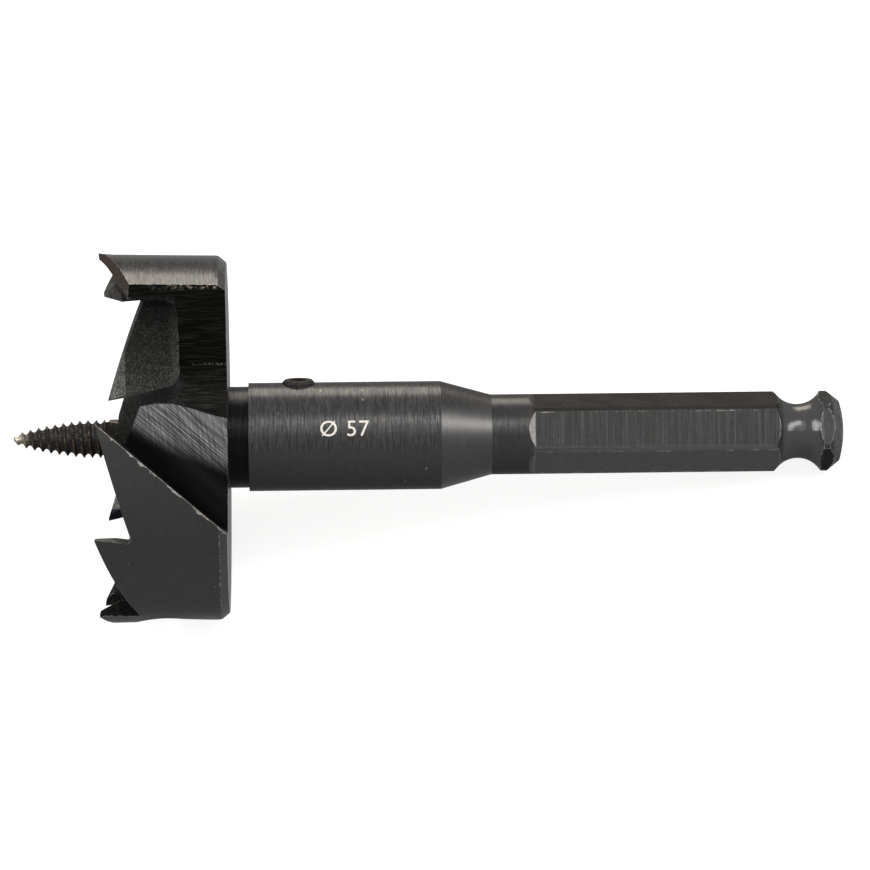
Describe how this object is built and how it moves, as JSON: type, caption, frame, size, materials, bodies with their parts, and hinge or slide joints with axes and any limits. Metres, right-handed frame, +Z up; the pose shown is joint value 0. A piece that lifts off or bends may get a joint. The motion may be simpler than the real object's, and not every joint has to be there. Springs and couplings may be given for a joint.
{
  "type": "self-feed drill bit",
  "caption": "Self-feed wood-boring bit with a toothed cup-shaped cutting head, a planing lip beside an open chip throat, a screw point and a quick-change hexagon shank.",
  "frame": {"origin": "centre of the bounding box's base, on the surface that the bit lies on", "axes": "+X along the bit from the screw point to the shank's end, seen from above; +Z up; +Y to the left when looking along +X"},
  "size_m": [0.1252, 0.0568, 0.0569],
  "materials": {
    "body_steel": "dark oiled steel, ground bright on the flats and cutting faces",
    "feed_screw_steel": "dark turned steel, worn bright at the point",
    "set_screw_steel": "black oxide"
  },
  "bodies": {
    "root": {"bit_body": "body_steel", "feed_screw": "feed_screw_steel", "set_screw": "set_screw_steel"}
  },
  "joints": []
}
